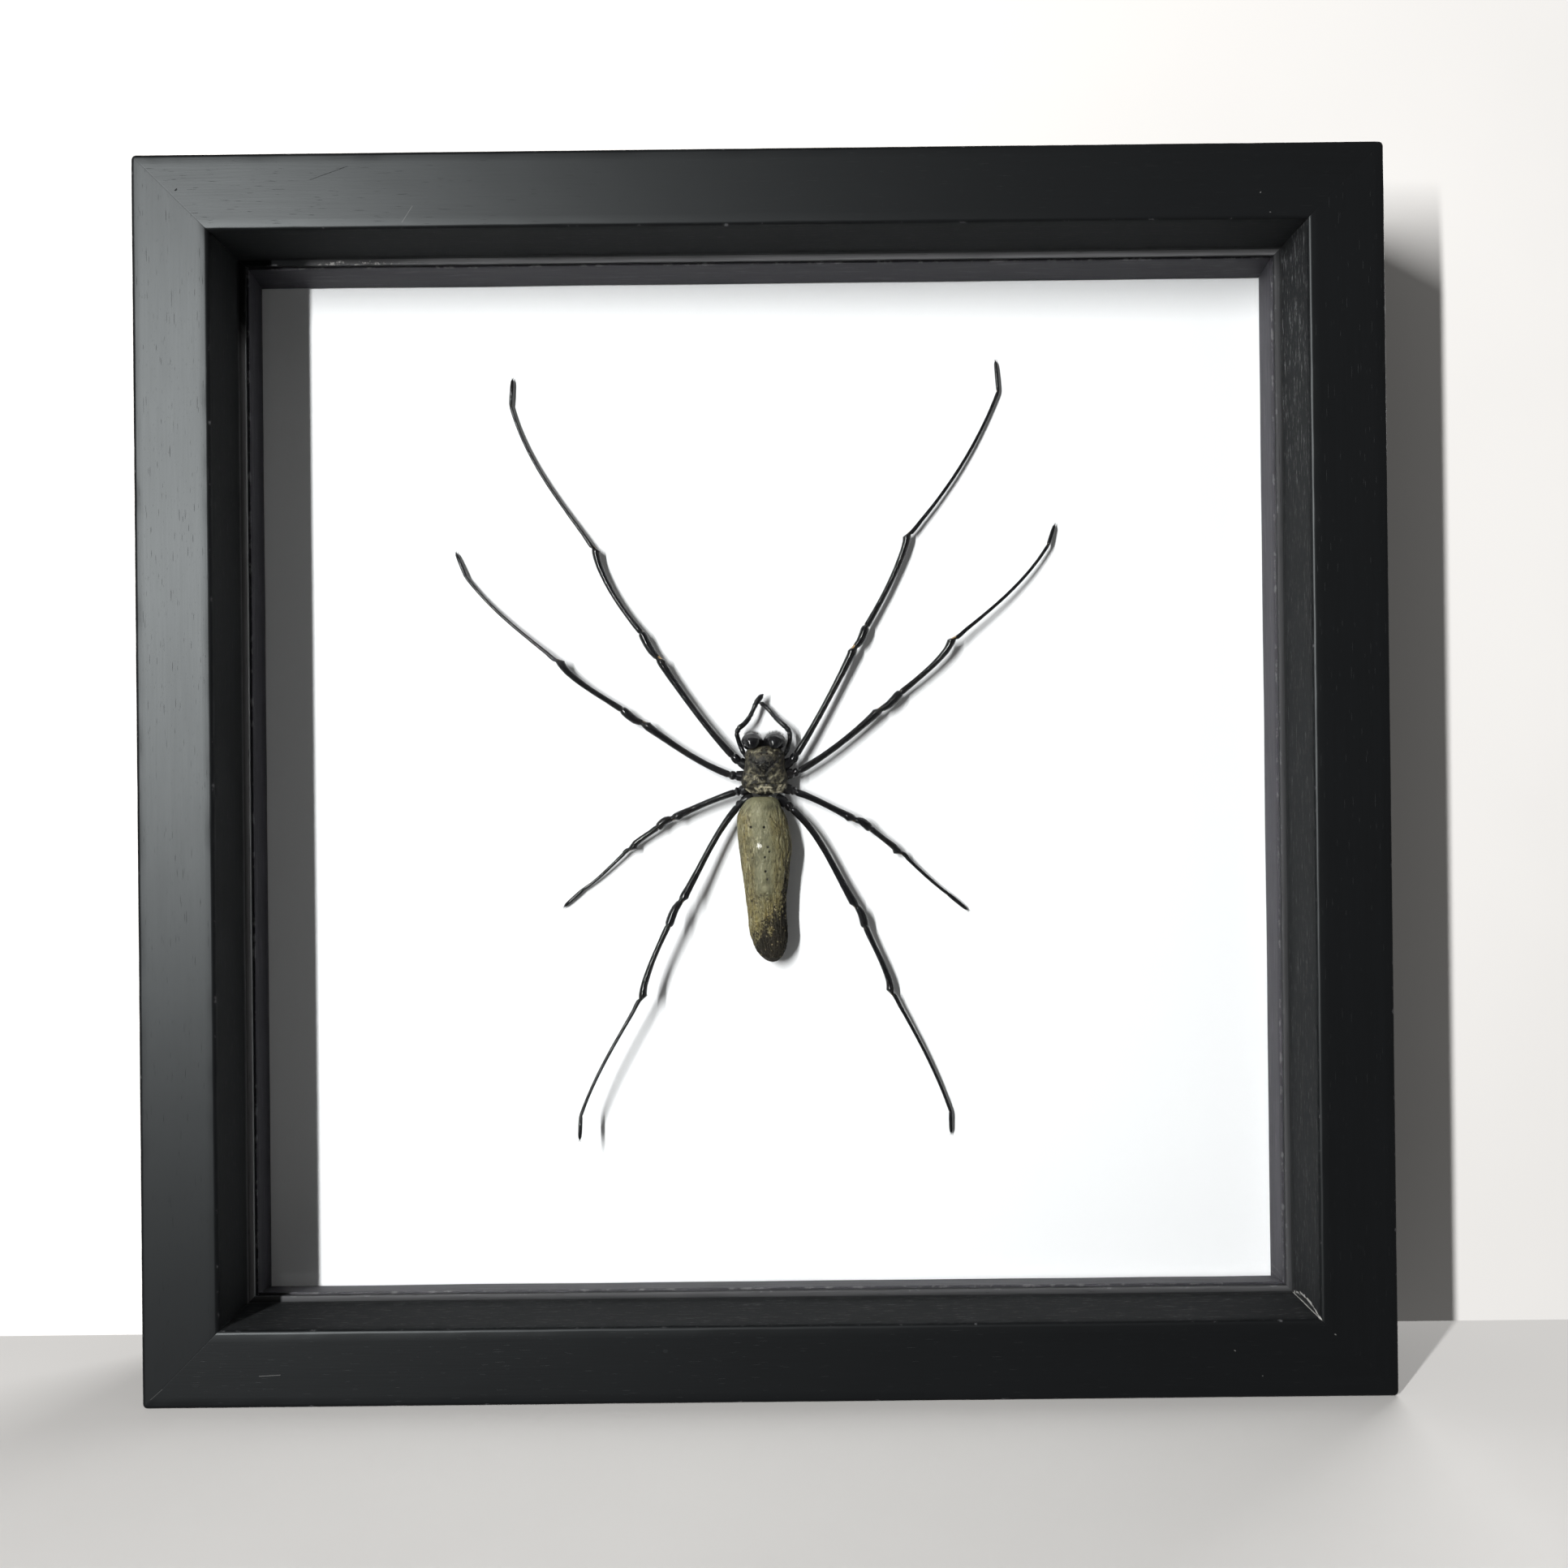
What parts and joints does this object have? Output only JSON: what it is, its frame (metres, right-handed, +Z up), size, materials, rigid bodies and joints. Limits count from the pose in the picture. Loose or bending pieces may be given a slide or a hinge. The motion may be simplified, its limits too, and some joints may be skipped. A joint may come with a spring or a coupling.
{
  "type": "framed orb-weaver spider",
  "caption": "Dried giant orb weaver with its legs spread on a white card behind glass, in a deep square box frame of black painted wood that stands or hangs.",
  "frame": {"origin": "middle of the underside of the frame, on the surface it stands on", "axes": "+Z up, +X to the right as seen from the front, the glass looks towards -Y"},
  "size_m": [0.25, 0.045, 0.25],
  "materials": {
    "black_paint": "satin black paint over wood, brushed, with fine grain and worn inner edges",
    "clear_glass": "clear picture glass",
    "dark_strip": "matt dark grey painted strip",
    "white_card": "matt white mount board",
    "brown_board": "raw brown hardboard",
    "steel": "zinc-plated steel",
    "carapace": "dark dried shell under grey-brown and cream hair",
    "abdomen_skin": "dry wrinkled skin, khaki to yellow-olive, mottled dark brown towards the end",
    "black_chitin": "glossy black shell"
  },
  "bodies": {
    "root": {"rail_top": "black_paint", "rail_bottom": "black_paint", "rail_left": "black_paint", "rail_right": "black_paint", "glass_pane": "clear_glass", "spacer_top": "dark_strip", "spacer_bottom": "dark_strip", "spacer_left": "dark_strip", "spacer_right": "dark_strip", "backing_card": "white_card", "back_board": "brown_board", "tab_1": "steel", "tab_2": "steel", "tab_3": "steel", "tab_4": "steel", "tab_5": "steel", "tab_6": "steel", "tab_7": "steel", "tab_8": "steel", "hanger": "steel", "hanger_screw_left": "steel", "hanger_screw_right": "steel", "cephalothorax": "carapace", "abdomen": "abdomen_skin", "chelicera_left": "black_chitin", "chelicera_right": "black_chitin", "palp_left": "black_chitin", "palp_right": "black_chitin", "leg_1_left": "black_chitin", "leg_2_left": "black_chitin", "leg_3_left": "black_chitin", "leg_4_left": "black_chitin", "leg_1_right": "black_chitin", "leg_2_right": "black_chitin", "leg_3_right": "black_chitin", "leg_4_right": "black_chitin"}
  },
  "joints": []
}
